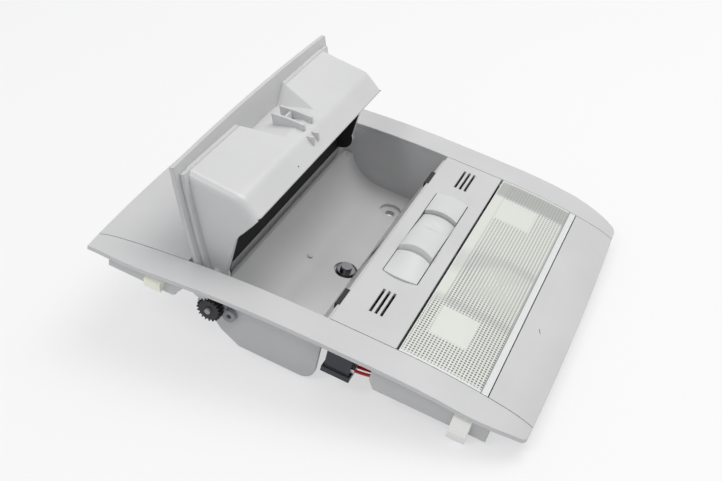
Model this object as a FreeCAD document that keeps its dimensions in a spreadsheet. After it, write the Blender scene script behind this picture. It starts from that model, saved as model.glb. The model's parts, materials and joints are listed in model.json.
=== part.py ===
import FreeCAD, Part
import math
import os
import re
import Sketcher
from FreeCAD import Placement, Rotation, Vector

# Modelling frame, in mm: +X runs from the glasses holder to the lamp, +Z leaves the face that
# the driver sees, Y = 0 is the middle plane, the lens begins at X = 0 and the flat face is Z = 0.

doc = FreeCAD.newDocument("interior_light")
sheet = doc.addObject("Spreadsheet::Sheet", "Dims")

DIMS = [
    ("half_width", 100.0, "half width over the side rails"),
    ("rail_width", 17.2, "width of the side rails"),
    ("strip_half", "half_width - rail_width", "half width of the centre strip"),
    ("seam_gap", 0.4, "gap at the seams of the face"),
    ("skin", 2.2, "wall of rails and panels"),
    ("face_rear", -36.0, "flat part of the face begins"),
    ("face_front", 0.0, "flat part of the face ends"),
    ("rear_radius", 650.0, "face curve at the holder end"),
    ("front_radius", 320.0, "face curve at the lamp end"),
    ("end_radius", 60.0, "roll of both ends"),
    ("rear_roll", -150.0, "roll of the holder end begins"),
    ("rear_end", -166.5, "tip of the holder end"),
    ("rear_drop", 15.6, "tip of the holder end below the face"),
    ("front_roll", 57.0, "roll of the lamp end begins"),
    ("front_end", 71.4, "tip of the lamp end"),
    ("front_drop", 9.6, "tip of the lamp end below the face"),
    ("rear_taper", -120.0, "rails begin to draw in at the holder end"),
    ("rear_draw", 143.0, "plan radius of the rails at the holder end"),
    ("rear_side_x", -161.0, "corner of the holder end"),
    ("rear_bow", 886.0, "plan radius of the holder end"),
    ("taper_x", 35.0, "rails begin to draw in"),
    ("taper_end", 66.5, "rails end"),
    ("taper_radius", 82.0, "plan radius of the drawn-in rails"),
    ("front_side_x", 69.8, "corner of the lamp end"),
    ("front_inset", 4.3, "that corner, in from the end of the rails"),
    ("front_corner", 5.0, "plan radius of that corner"),
    ("front_bow", 2700.0, "plan radius of the lamp end"),
    ("block_depth", "1.5 * box_depth", "depth of the trimming blocks"),
    ("skirt_inset", 7.0, "skirts, in from the outer edge of the rails"),
    ("skirt_out", "half_width - skirt_inset", "outer face of the skirts"),
    ("skirt_wall", 2.0, "wall of skirts and cross walls"),
    ("skirt_depth", 20.0, "lower edge of the skirts below the face"),
    ("skirt_rear", -149.0, "rear skirt begins"),
    ("skirt_rear_end", -105.2, "rear skirt ends"),
    ("skirt_front", -7.0, "front skirt begins"),
    ("skirt_front_end", 45.5, "front skirt ends"),
    ("rear_cross", -113.4, "rear cross wall"),
    ("front_cross", 51.0, "front cross wall"),
    ("rest_gap", 0.1, "gap between panels and what carries them"),
    ("rear_panel_edge", -111.2, "rear panel ends at the lid"),
    ("switch_edge", -35.3, "switch panel begins"),
    ("switch_end", -1.0, "switch panel ends"),
    ("lens_start", 0.3, "lens begins"),
    ("lens_end", 45.9, "lens ends"),
    ("lens_wall", 2.5, "wall of the lens"),
    ("lens_lip", 6.0, "lower edge of the lens lip below the face"),
    ("front_panel_edge", 46.4, "front panel begins"),
    ("group_x", -18.5, "middle of the switch group along X"),
    ("group_y", 4.5, "middle of the switch group along Y"),
    ("group_half_x", 9.3, "half width of the buttons"),
    ("group_half_y", 39.4, "half length of the switch group at its sides"),
    ("button_bow", 25.4, "plan radius of the outer button ends"),
    ("crown_radius", 17.0, "arch of the rocker and the button tops"),
    ("button_rise", 0.3, "button edges above the face"),
    ("button_depth", 3.0, "underside of the buttons below the face"),
    ("button_gap", 0.45, "gap around buttons and rocker"),
    ("rocker_half", 20.2, "end radius of the rocker about its pivot"),
    ("rocker_tilt", 7.2, "rocker tilt, in degrees"),
    ("pivot_depth", 4.6, "rocker pivot below the face"),
    ("pivot_radius", 1.0, "rocker pivot pin radius"),
    ("pivot_play", 0.05, "radial play of the rocker pivot"),
    ("cheek_wall", 2.2, "cheeks that carry the rocker"),
    ("slot_pitch", 2.9, "pitch of the slots"),
    ("slot_width", 1.4, "width of a slot"),
    ("slot_length", 19.0, "length of a slot"),
    ("slot_inset", 21.3, "middle of the slots from the edge of the strip, without the group's offset"),
    ("slot_offset", "strip_half - slot_inset", "slot groups from the middle of the switch group"),
    ("box_wall", 2.0, "wall of the holder box"),
    ("box_rear", -108.5, "holder box begins"),
    ("box_front", -35.6, "holder box ends"),
    ("box_depth", 41.5, "underside of the holder box below the face"),
    ("well_rear", -93.9, "rear wall of the well, top"),
    ("well_rear_top", 17.0, "rear wall of the well, top below the face"),
    ("well_floor_rear", -70.0, "well floor begins"),
    ("plate_low", -77.0, "side plates of the holder box reach their full depth"),
    ("well_floor_front", -50.0, "well floor ends"),
    ("well_front", -36.1, "front wall of the well at the face"),
    ("ledge_rear", -103.0, "ledge behind the rear wall of the well ends"),
    ("ledge_top", 24.2, "top of that ledge below the face"),
    ("well_curve", 24.0, "curve of the rear wall of the well"),
    ("boss_x", -55.6, "screw bosses along X"),
    ("boss_inset", 16.8, "outer screw bosses from the side plates, without the middle boss's offset"),
    ("boss_y", "strip_half - boss_inset", "outer screw bosses from the middle boss"),
    ("boss_mid_y", -1.5, "middle screw boss along Y"),
    ("boss_radius", 8.2, "screw boss radius"),
    ("boss_drop", 3.0, "screw bosses below the holder box"),
    ("boss_bottom", "box_depth + boss_drop", "underside of the screw bosses below the face"),
    ("recess_radius", 6.7, "screw recess radius"),
    ("recess_floor", 3.0, "wall under the screw recess"),
    ("screw_hole", 2.75, "screw clearance hole radius"),
    ("screw_radius", 2.5, "screw shank radius"),
    ("screw_length", 5.6, "screw shank length"),
    ("screw_end", 1.1, "screw tip below the screw boss"),
    ("screw_tip", "boss_bottom + screw_end", "screw tip below the face"),
    ("screw_flange", 5.0, "screw flange radius"),
    ("screw_flange_wall", 1.0, "screw flange thickness"),
    ("head_radius", 3.2, "screw head radius"),
    ("head_height", 3.7, "screw head height with its flange"),
    ("washer_radius", 5.6, "screw washer radius"),
    ("washer_height", 1.5, "screw washer thickness"),
    ("hinge_x", -98.5, "lid hinge along X"),
    ("hinge_depth", 10.2, "lid hinge below the face"),
    ("lid_open", 108.5, "lid opening, in degrees"),
    ("pin_radius", 2.5, "lid hinge pin radius"),
    ("pin_play", 0.05, "radial play of the lid hinge"),
    ("lid_side_gap", 0.6, "gap between lid plate and rails"),
    ("lid_half", "strip_half - lid_side_gap", "half width of the lid plate"),
    ("lid_wall", 2.4, "wall of the lid plate"),
    ("lid_rear", -109.0, "lid plate begins"),
    ("lid_front", -36.1, "lid plate ends, in the middle"),
    ("lid_bow", 1700.0, "plan radius of the free edge of the lid"),
    ("bin_inset", 6.2, "sides of the bin, in from the lid plate"),
    ("bin_half", "lid_half - bin_inset", "half width of the bin"),
    ("bin_wall", 2.0, "wall of the bin"),
    ("bin_top", -41.5, "bin front wall at the face"),
    ("bin_bend_x", -54.5, "bin front wall bends, along X"),
    ("lip_gap", 0.9, "bin lip above the well floor"),
    ("bin_lip", "box_depth - box_wall - lip_gap", "bin lip ends, below the face"),
    ("lip_rise", 7.6, "bend of the bin front wall above the lip"),
    ("bin_bend", "bin_lip - lip_rise", "bin front wall bends, below the face"),
    ("bin_ease", 2.6, "the bend takes this much of both walls"),
    ("bin_lip_x", -65.5, "bin lip ends, along X"),
    ("bin_round", 4.5, "rounding of the bin's long edges"),
    ("hinge_cheek", 6.5, "radius of the bin cheeks around the hinge"),
    ("flange_reach", 3.0, "bin flange beyond the sides of the bin"),
    ("flange_half", "bin_half + flange_reach", "half width of the bin flange"),
    ("flange_wall", 2.4, "wall of the bin flange"),
    ("flange_front", -43.0, "bin flange ends"),
    ("flange_rear", -104.0, "bin flange begins"),
    ("saddle_x", -52.0, "floor of the saddle"),
    ("saddle_half", 16.5, "half width of the saddle floor"),
    ("saddle_mouth", 28.0, "half width of the saddle mouth"),
    ("saddle_mouth_x", -41.0, "saddle mouth along X"),
    ("rib_y", 4.6, "striker ribs from the middle"),
    ("rib_wall", 1.6, "wall of the striker ribs"),
    ("liner_gap", 0.15, "gap behind the bin liner"),
    ("liner_wall", 0.8, "wall of the bin liner"),
    ("latch_half", 10.0, "half width of the latch opening"),
    ("latch_top", 13.0, "top of the latch opening below the face"),
    ("latch_bottom", 31.0, "bottom of the latch opening below the face"),
    ("latch_gap", 0.2, "gap around the latch"),
    ("latch_back", -35.2, "back of the latch"),
    ("bumper_near", -62.0, "near stop along Y"),
    ("bumper_far", 60.0, "far stop along Y"),
    ("bumper_half", 6.5, "half length of the stops"),
    ("bumper_bottom", 6.2, "underside of the stops below the face"),
    ("bumper_top", 2.85, "top of the stops below the face"),
    ("gear_module", 0.65, "module of the lid and damper gears"),
    ("lid_teeth", 16.0, "teeth of a full lid gear"),
    ("damper_teeth", 19.0, "teeth of the damper gear"),
    ("tooth_half", 0.35, "half thickness of a tooth at the pitch circle"),
    ("addendum", 0.4, "tooth height above the pitch circle"),
    ("dedendum", 0.75, "tooth depth below the pitch circle"),
    ("mesh_angle", -60.0, "direction from lid hinge to damper, in degrees"),
    ("damper_wall", 2.6, "thickness of the damper housing"),
    ("damper_outer", "strip_half + box_wall + damper_wall", "outer side of the damper housing"),
    ("gear_gap", 0.5, "gap between the gears and the damper housing"),
    ("gear_inner", "damper_outer + gear_gap", "inner side of the gears, from the middle"),
    ("gear_width", 4.3, "width of the gears"),
    ("gear_outer", "gear_inner + gear_width", "outer side of the gears, from the middle"),
    ("pin_stick", 1.2, "pins reach past the gears by"),
    ("pin_end", "gear_outer + pin_stick", "hinge pin and damper shaft end, from the middle"),
    ("damper_radius", 7.2, "damper housing radius"),
    ("damper_post", 1.5, "damper shaft radius"),
    ("damper_play", 0.05, "radial play of the damper shaft"),
    ("ear_x", -83.8, "damper fixing ear along X"),
    ("ear_depth", 23.0, "damper fixing ear below the face"),
    ("ear_radius", 3.5, "damper fixing ear radius"),
    ("house_rear", -34.4, "lamp housing begins"),
    ("house_front", 49.5, "lamp housing ends"),
    ("house_gap", 1.3, "lamp housing, in from the edge of the strip"),
    ("house_half", "strip_half - house_gap", "half width of the lamp housing"),
    ("house_depth", 20.0, "underside of the lamp housing below the face"),
    ("house_wall", 1.8, "wall of the lamp housing"),
    ("tray_start", 1.6, "reflector begins"),
    ("tray_end", 45.4, "reflector ends"),
    ("tray_gap", 0.4, "gap between reflector and housing wall"),
    ("tray_half", "house_half - house_wall - tray_gap", "half width of the reflector"),
    ("tray_top", 6.5, "top of the reflector below the face"),
    ("tray_rim", 2.0, "rim of the reflector basins"),
    ("basin_floor", 16.0, "basin floor below the face"),
    ("basin_slope", 8.0, "basin walls lean in by"),
    ("basin_mid", 28.0, "half length of the middle basin"),
    ("basin_start", 32.0, "outer basins begin"),
    ("basin_end", "tray_half - tray_rim", "outer basins end"),
    ("bulb_x", 23.5, "bulbs along X"),
    ("bulb_depth", 11.2, "bulb axis below the face"),
    ("dome_half", 18.0, "half length of the dome bulb"),
    ("map_gap", 1.6, "map bulbs, in from the basin floor"),
    ("map_half", "(basin_end - basin_start) / 2 - basin_slope - map_gap", "half length of the map bulbs"),
    ("bulb_radius", 4.2, "glass radius"),
    ("cap_radius", 3.3, "bulb cap radius"),
    ("cap_length", 4.0, "bulb cap length"),
    ("contact_wall", 0.6, "wall of the bulb contacts"),
    ("contact_half", 3.6, "half width of the bulb contacts"),
    ("unit_top", 6.4, "top of the switch unit below the face"),
    ("unit_rear", -32.0, "switch unit begins"),
    ("unit_front", -4.5, "switch unit ends"),
    ("unit_reach", 4.6, "switch unit beyond the switch group"),
    ("unit_half", "group_half_y + unit_reach", "half length of the switch unit"),
    ("plug_rear", -30.5, "connector begins"),
    ("plug_front", -17.5, "connector ends"),
    ("plug_width", 8.5, "width of the connector"),
    ("plug_near", "house_half + plug_width", "near side of the connector"),
    ("plug_top", 9.0, "top of the connector below the face"),
    ("plug_depth", 25.5, "underside of the connector below the face"),
    ("plug_rim", 1.0, "rim of the connector mouth"),
    ("tab_front", -15.7, "metal tabs end"),
    ("tab_depth", 19.5, "metal tabs below the face"),
    ("tab_half", 1.1, "half height of the metal tabs"),
    ("wire_inset", 2.4, "near wire from the side of the connector"),
    ("wire_near", "plug_near - wire_inset", "near wire from the middle"),
    ("wire_pitch", 3.2, "pitch of the two wires"),
    ("wire_radius", 0.8, "wire radius"),
    ("wire_bend", 40.0, "bend of the wires"),
    ("wire_start", -85.0, "wire direction at the tabs, in degrees"),
    ("wire_sweep", 30.0, "wire turn, in degrees"),
    ("entry_length", 8.0, "length of the wire entry on the housing"),
    ("entry_top", 9.0, "top of the wire entry below the face"),
    ("clip_bottom", 24.3, "tip of the front clips below the face"),
    ("clip_rear_bottom", 19.2, "tip of the rear clips below the face"),
    ("clip_half", 4.5, "half width of the clips"),
    ("clip_rear", -122.0, "rear clips along X"),
    ("clip_front", 40.0, "front clips along X"),
    ("fix_head", 3.2, "housing screw head radius"),
    ("fix_height", 2.0, "housing screw head height"),
    ("fix_rear", -24.0, "rear housing screws along X"),
    ("fix_front", 41.0, "front housing screws along X"),
    ("fix_y", 55.0, "housing screws from the middle"),
    ("coil_inner", 2.7, "spring coil inner radius"),
    ("coil_outer", 4.0, "spring coil outer radius"),
    ("coil_gap", 1.2, "spring coil from the side plate"),
    ("coil_start", "strip_half + box_wall + coil_gap", "spring coil begins, from the middle"),
    ("coil_turns", 2.0, "turns of the spring"),
    ("spring_wire", 1.6, "spring wire thickness"),
    ("leg_length", 11.0, "spring leg length from the hinge"),
]

for row, (alias, amount, note) in enumerate(DIMS, start=1):
    sheet.set(f"A{row}", note)
    sheet.setAlias(f"B{row}", alias)
    sheet.set(f"B{row}", "=" + amount if isinstance(amount, str) else str(amount))
doc.recompute()
value = {alias: float(sheet.get(alias)) for alias, amount, note in DIMS}

ALIAS = re.compile(r"\b(" + "|".join(sorted(value, key=len, reverse=True)) + r")\b")
TURN = {
    "x": Rotation(Vector(0, 1, 0), 90),
    "y": Rotation(Vector(1, 0, 0), -90),
    "z": Rotation(),
}


def linked(expression):
    return ALIAS.sub(r"Dims.\1", str(expression))


def number(expression):
    return float(sheet.evalExpression(str(expression)))


def bind(item, path, expression):
    item.setExpression(path, linked(expression))


def add_outline(sketch, points):
    # A point is (across, up), or (across, up, radius, side) when the edge to the next point is
    # an arc that bulges to the left (+1) or the right (-1) of the way along it.
    spots = [Vector(number(point[0]), number(point[1]), 0) for point in points]
    count = len(points)
    heads = []
    tails = []
    for index, point in enumerate(points):
        first = spots[index]
        last = spots[(index + 1) % count]
        if len(point) == 2:
            sketch.addGeometry(Part.LineSegment(first, last))
            heads.append((index, 1))
            tails.append((index, 2))
            continue
        radius = number(point[2])
        chord = last - first
        across = Vector(-chord.y, chord.x, 0).normalize()
        reach = math.sqrt(radius**2 - chord.Length**2 / 4)
        centre = (first + last) * 0.5 - across * (reach * point[3])
        angle_first = math.atan2(first.y - centre.y, first.x - centre.x)
        angle_last = math.atan2(last.y - centre.y, last.x - centre.x)
        circle = Part.Circle(centre, Vector(0, 0, 1), radius)
        if point[3] > 0:
            sketch.addGeometry(Part.ArcOfCircle(circle, angle_last, angle_first))
            heads.append((index, 2))
            tails.append((index, 1))
        else:
            sketch.addGeometry(Part.ArcOfCircle(circle, angle_first, angle_last))
            heads.append((index, 1))
            tails.append((index, 2))
    for index in range(count):
        join_to = heads[(index + 1) % count]
        sketch.addConstraint(Sketcher.Constraint("Coincident", *tails[index], *join_to))
    for index, point in enumerate(points):
        driven = [("DistanceX", heads[index], point[0]), ("DistanceY", heads[index], point[1])]
        if len(point) > 2:
            driven.append(("Radius", (index,), point[2]))
        for kind, target, expression in driven:
            constraint = Sketcher.Constraint(kind, *target, number(expression))
            place = sketch.addConstraint(constraint)
            if ALIAS.search(str(expression)):
                bind(sketch, f"Constraints[{place}]", expression)


def new_sketch(body, role, offset, points):
    sketch = body.newObject("Sketcher::SketchObject", body.Name + "_outline")
    plane = [item for item in body.Origin.OriginFeatures if item.Role == role][0]
    sketch.AttachmentSupport = (plane, "")
    sketch.MapMode = "FlatFace"
    bind(sketch, "AttachmentOffset.Base.z", offset)
    add_outline(sketch, points)
    return sketch


def prism(name, role, points, start, end):
    body = doc.addObject("PartDesign::Body", name)
    pad = body.newObject("PartDesign::Pad", name + "_pad")
    pad.Profile = new_sketch(body, role, start, points)
    bind(pad, "Length", f"({end}) - ({start})")
    body.Tip = pad
    return body


def turned(name, points):
    body = doc.addObject("PartDesign::Body", name)
    sketch = new_sketch(body, "XZ_Plane", "0", points)
    spin = body.newObject("PartDesign::Revolution", name + "_turn")
    spin.Profile = sketch
    spin.ReferenceAxis = (sketch, ["V_Axis"])
    spin.Angle = 360
    body.Tip = spin
    return body


def block(name, x_low, x_high, y_low, y_high, z_low, z_high):
    item = doc.addObject("Part::Box", name)
    sides = (("Length", x_low, x_high), ("Width", y_low, y_high), ("Height", z_low, z_high))
    for side, low, high in sides:
        bind(item, side, f"({high}) - ({low})")
    for axis, low in (("x", x_low), ("y", y_low), ("z", z_low)):
        bind(item, "Placement.Base." + axis, low)
    return item


def rod(name, axis, centre, radius, length):
    item = doc.addObject("Part::Cylinder", name)
    item.Placement = Placement(Vector(), TURN[axis])
    bind(item, "Radius", radius)
    bind(item, "Height", length)
    for letter, expression in zip("xyz", centre):
        bind(item, "Placement.Base." + letter, expression)
    return item


def hex_head(name, centre, radius, length):
    item = doc.addObject("Part::Prism", name)
    item.Polygon = 6
    bind(item, "Circumradius", radius)
    bind(item, "Height", length)
    for letter, expression in zip("xyz", centre):
        bind(item, "Placement.Base." + letter, expression)
    return item


def together(name, parts):
    item = doc.addObject("Part::Compound", name)
    item.Links = parts
    return item


def fused(name, parts):
    item = doc.addObject("Part::MultiFuse", name)
    item.Shapes = parts
    item.Refine = True
    return item


def less(name, base, tools):
    item = doc.addObject("Part::Cut", name)
    item.Base = base
    item.Tool = tools[0] if len(tools) == 1 else together(name + "_tools", tools)
    return item


def within(name, first, second):
    item = doc.addObject("Part::Common", name)
    item.Base = first
    item.Tool = second
    return item


nodes = []


def node(item, label, motion="fixed", local=Placement()):
    item.Label = label
    nodes.append((item, label, motion, local))


def face_block(name, drop):
    rear_edge = "sqrt(rear_radius^2 - (rear_roll - face_rear)^2) - rear_radius"
    front_edge = "sqrt(front_radius^2 - (front_roll - face_front)^2) - front_radius"
    points = [
        ("rear_end", f"-rear_drop - ({drop})", "end_radius", 1),
        ("rear_roll", f"{rear_edge} - ({drop})", "rear_radius", 1),
        ("face_rear", f"-({drop})"),
        ("face_front", f"-({drop})", "front_radius", 1),
        ("front_roll", f"{front_edge} - ({drop})", "end_radius", 1),
        ("front_end", f"-front_drop - ({drop})"),
        ("front_end", f"-block_depth - ({drop})"),
        ("rear_end", f"-block_depth - ({drop})"),
    ]
    return prism(name, "XZ_Plane", points, "-half_width", "half_width")


# The face: one curved block, lowered copies of it, and the outline seen from above

face = face_block("face", "0")
face_less_skin = face_block("face_less_skin", "skin")
face_less_lid = face_block("face_less_lid", "lid_wall")
face_less_lens = face_block("face_less_lens", "lens_wall")
face_carried = face_block("face_carried", "skin + rest_gap")
face_housed = face_block("face_housed", "lens_wall + rest_gap")

taper_y = "(half_width - taper_radius + sqrt(taper_radius^2 - (taper_end - taper_x)^2))"
rear_y = "(half_width - rear_draw + sqrt(rear_draw^2 - (rear_taper - rear_side_x)^2))"
plan_points = [
    ("rear_side_x", f"-{rear_y}", "rear_draw", -1),
    ("rear_taper", "-half_width"),
    ("taper_x", "-half_width", "taper_radius", -1),
    ("taper_end", f"-{taper_y}", "front_corner", -1),
    ("front_side_x", f"-({taper_y} - front_inset)", "front_bow", -1),
    ("front_side_x", f"{taper_y} - front_inset", "front_corner", -1),
    ("taper_end", taper_y, "taper_radius", -1),
    ("taper_x", "half_width"),
    ("rear_taper", "half_width", "rear_draw", -1),
    ("rear_side_x", rear_y, "rear_bow", -1),
]
plan = prism("plan", "XY_Plane", plan_points, "-block_depth", "block_depth")
shell_blank = less("shell_blank", face, [face_less_skin])
shell = within("shell", shell_blank, plan)
strip = "strip_half - seam_gap"


def strip_piece(name, blank, start, end):
    tool = block(name + "_limits", start, end, f"-({strip})", strip, "-block_depth", "block_depth")
    return within(name, blank, tool)


# Side rails with skirts and cross walls

strip_room = block(
    "strip_room", "rear_end - 9", "front_end + 9", "-strip_half", "strip_half",
    "-block_depth", "block_depth",
)
rails = less("rails", shell, [strip_room])
rear_skirt_points = [
    ("skirt_rear", "-skirt_depth"),
    ("skirt_rear_end - 7", "-skirt_depth"),
    ("skirt_rear_end", "-skirt_depth / 2"),
    ("skirt_rear_end", "skirt_depth"),
    ("skirt_rear", "skirt_depth"),
]
front_skirt_points = [
    ("skirt_front + 3", "-skirt_depth"),
    ("skirt_front_end", "-skirt_depth"),
    ("skirt_front_end", "skirt_depth"),
    ("skirt_front", "skirt_depth"),
    ("skirt_front", "-skirt_depth + 5"),
]
webs = []
for side, low, high in (
    ("near", "skirt_out - skirt_wall", "skirt_out"),
    ("far", "-skirt_out", "skirt_wall - skirt_out"),
):
    webs.append(prism("rear_skirt_" + side, "XZ_Plane", rear_skirt_points, low, high))
    webs.append(prism("front_skirt_" + side, "XZ_Plane", front_skirt_points, low, high))
skirts = within("skirts", together("skirt_blanks", webs), face_less_skin)
cross_walls = []
for side, place in (("rear", "rear_cross"), ("front", "front_cross")):
    cross_walls.append(block(
        side + "_wall", place, f"{place} + skirt_wall", "skirt_wall / 2 - skirt_out",
        "skirt_out - skirt_wall / 2", "-skirt_depth", "skirt_depth",
    ))
crossing = within("crossing", together("cross_blanks", cross_walls), face_carried)
skirt_roots = []
for side, low, high in (
    ("near", "-skirt_out", "skirt_wall - skirt_out"),
    ("far", "skirt_out - skirt_wall", "skirt_out"),
):
    for where, start, end in (
        ("rear", "skirt_rear", "skirt_rear_end"),
        ("front", "skirt_front", "skirt_front_end"),
    ):
        skirt_roots.append(block(
            f"root_{where}_{side}", start, end, low, high, "-skirt_depth", "skirt_depth",
        ))
roots = within("roots", together("root_blanks", skirt_roots), shell)
front_reach = block(
    "front_reach", "skirt_front_end - 1", "front_cross + skirt_wall", "-skirt_out",
    "skirt_wall - skirt_out", "-skirt_depth", "skirt_depth",
)
front_reach_far = block(
    "front_reach_far", "skirt_front_end - 1", "front_cross + skirt_wall", "skirt_out - skirt_wall",
    "skirt_out", "-skirt_depth", "skirt_depth",
)
reaches = within("reaches", together("reach_blanks", [front_reach, front_reach_far]), face_less_skin)
node(fused("frame_whole", [rails, skirts, roots, reaches, crossing]), "console_frame")

# Panels of the centre strip

node(strip_piece("rear_plate", shell, "rear_end - 9", "rear_panel_edge"), "rear_panel")
node(strip_piece("front_plate", shell, "front_panel_edge", "front_end + 9"), "front_panel")

group_low = "(group_x - group_half_x)"
group_high = "(group_x + group_half_x)"
opening_points = [
    (f"{group_low} - button_gap", "group_y - group_half_y", "button_bow + button_gap", -1),
    (f"{group_high} + button_gap", "group_y - group_half_y"),
    (f"{group_high} + button_gap", "group_y + group_half_y", "button_bow + button_gap", -1),
    (f"{group_low} - button_gap", "group_y + group_half_y"),
]
switch_tools = [prism("switch_opening", "XY_Plane", opening_points, "-skin - 9", "9")]
for side, sign in (("near", "-"), ("far", "+")):
    for column in (-1, 0, 1):
        low = f"group_x + {column} * slot_pitch - slot_width / 2"
        high = f"group_x + {column} * slot_pitch + slot_width / 2"
        middle = f"group_y {sign} slot_offset"
        slot_name = f"slot_{side}_{column + 2}"
        switch_tools.append(block(
            slot_name, low, high, f"{middle} - slot_length / 2", f"{middle} + slot_length / 2",
            "-skin - 9", "9",
        ))
switch_plate = strip_piece("switch_plate", shell, "switch_edge", "switch_end")
node(less("switch_plate_open", switch_plate, switch_tools), "switch_panel")

# Buttons and rocker

arch_points = [
    (group_low, "-button_depth"),
    (group_high, "-button_depth"),
    (group_high, "button_rise", "crown_radius", -1),
    (group_low, "button_rise"),
]
near_points = [
    (group_low, "group_y - group_half_y", "button_bow", -1),
    (group_high, "group_y - group_half_y"),
    (group_high, "group_y - rocker_half - button_gap"),
    (group_low, "group_y - rocker_half - button_gap"),
]
far_points = [
    (group_low, "group_y + rocker_half + button_gap"),
    (group_high, "group_y + rocker_half + button_gap"),
    (group_high, "group_y + group_half_y", "button_bow", -1),
    (group_low, "group_y + group_half_y"),
]
for side, points in (("near", near_points), ("far", far_points)):
    arch = prism(f"{side}_arch", "XZ_Plane", arch_points, "-half_width", "half_width")
    cap = prism(f"{side}_cap", "XY_Plane", points, "-button_depth - 1", "block_depth")
    node(within(f"{side}_button", arch, cap), f"map_button_{side}", f"{side}_button")
rocker_arch = prism("rocker_arch", "XZ_Plane", arch_points, "-half_width", "half_width")
rocker_end = rod(
    "rocker_end", "x", ("group_x - 30", "group_y", "-pivot_depth"), "rocker_half", "60",
)
rocker_top = within("rocker_top", rocker_arch, rocker_end)
rocker_lug = block(
    "rocker_lug", group_low, group_high, "group_y - 3", "group_y + 3",
    "-pivot_depth - pivot_radius - 0.3", "0",
)
rocker_pin = rod(
    "rocker_pin", "x", (f"{group_low} - cheek_wall", "group_y", "-pivot_depth"), "pivot_radius",
    "2 * group_half_x + 2 * cheek_wall",
)
node(fused("rocker_whole", [rocker_top, rocker_lug, rocker_pin]), "dome_rocker", "rocker")

# Switch unit under the panel, with the cheeks that carry the rocker

unit_base = block(
    "unit_base", "unit_rear", "unit_front", "group_y - unit_half", "group_y + unit_half",
    "-house_depth + house_wall", "-unit_top",
)
cheeks = []
for side, start in (
    ("rear", f"{group_low} - button_gap - cheek_wall"),
    ("front", f"{group_high} + button_gap"),
):
    cheeks.append(block(
        f"cheek_{side}", start, f"{start} + cheek_wall", "group_y - 4", "group_y + 4",
        "-unit_top - 1", "-skin - 0.6",
    ))
pivot_bore = rod(
    "pivot_bore", "x", ("group_x - 30", "group_y", "-pivot_depth"), "pivot_radius + pivot_play",
    "60",
)
unit_blank = fused("unit_blank", [unit_base] + cheeks)
node(less("switch_unit", unit_blank, [pivot_bore]), "switch_body")

# Lens

lens_blank = less("lens_blank", face, [face_less_lens])
lens_plate = strip_piece("lens_plate", lens_blank, "lens_start", "lens_end")
lip_outer = block(
    "lip_outer", "tray_start", "tray_end - 1", "-tray_half", "tray_half", "-lens_lip", "9",
)
lip_inner = block(
    "lip_inner", "tray_start + 1.6", "tray_end - 2.6", "1.6 - tray_half", "tray_half - 1.6",
    "-lens_lip - 1", "10",
)
lip_ring = less("lip_ring", lip_outer, [lip_inner])
lip = within("lip", lip_ring, face)
node(fused("lens_whole", [lens_plate, lip]), "lamp_lens")

# Lamp housing, reflector, bulbs and contacts

house_outer = block(
    "house_outer", "house_rear", "house_front", "-house_half", "house_half", "-house_depth", "9",
)
house_inner = block(
    "house_inner", "house_rear + house_wall", "house_front - house_wall",
    "house_wall - house_half", "house_half - house_wall", "house_wall - house_depth", "20",
)
wire_x = "(tab_front - wire_bend * cos(wire_start * 1 deg))"
wire_z = "(-tab_depth - wire_bend * sin(wire_start * 1 deg))"
wire_stop = f"({wire_x} + wire_bend * cos((wire_start + wire_sweep) * 1 deg))"
entry = block(
    "entry", f"{wire_stop} - 0.3", f"{wire_stop} + entry_length", "-wire_near - 2",
    "-house_half + 1", "-house_depth", "-entry_top",
)
house_walls = less("house_walls", house_outer, [house_inner])
house_open = within("house_open", house_walls, face_housed)
house_whole = fused("house_whole", [house_open, entry])
wire_bores = []
wires = []
for index in (0, 1):
    for kind, radius in (("wire", "wire_radius"), ("bore", "wire_radius + 0.1")):
        section = []
        for corner in range(8):
            angle = math.radians(45 * corner)
            section.append((
                f"wire_bend + {math.cos(angle):.5f} * ({radius})", f"{math.sin(angle):.5f} * ({radius})",
            ))
        ring = turned(f"{kind}_{index}", section)
        bind(ring.Tip, "Angle", "wire_sweep")
        around = Rotation(Vector(0, -1, 0), value["wire_start"])
        ring.Placement = Placement(Vector(), around * Rotation(Vector(1, 0, 0), 90))
        bind(ring, "Placement.Base.x", wire_x)
        bind(ring, "Placement.Base.y", f"-wire_near + {index} * wire_pitch")
        bind(ring, "Placement.Base.z", wire_z)
        if kind == "wire":
            wires.append(ring)
        else:
            wire_bores.append(ring)
node(less("house_ready", house_whole, wire_bores), "lamp_housing")
node(together("wire_pair", wires), "lead_wires")

tray = block(
    "tray", "tray_start", "tray_end", "-tray_half", "tray_half",
    "-house_depth + house_wall", "-tray_top",
)
basins = []
for side, low, high in (
    ("near", "-basin_end", "-basin_start"),
    ("mid", "-basin_mid", "basin_mid"),
    ("far", "basin_start", "basin_end"),
):
    basin = doc.addObject("Part::Wedge", f"basin_{side}")
    lean = "basin_slope"
    bind(basin, "Xmin", f"tray_start + tray_rim + {lean}")
    bind(basin, "Xmax", f"tray_end - tray_rim - {lean}")
    bind(basin, "Zmin", f"({low}) + {lean}")
    bind(basin, "Zmax", f"({high}) - {lean}")
    bind(basin, "Ymin", "-basin_floor")
    bind(basin, "Ymax", "-tray_top + 0.01")
    bind(basin, "X2min", "tray_start + tray_rim")
    bind(basin, "X2max", "tray_end - tray_rim")
    bind(basin, "Z2min", low)
    bind(basin, "Z2max", high)
    upright = Rotation(Vector(1, 0, 0), Vector(0, 0, 1), Vector(0, -1, 0), "XYZ")
    basin.Placement = Placement(Vector(), upright)
    basins.append(basin)
node(less("tray_ready", tray, basins), "reflector_tray")

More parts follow.
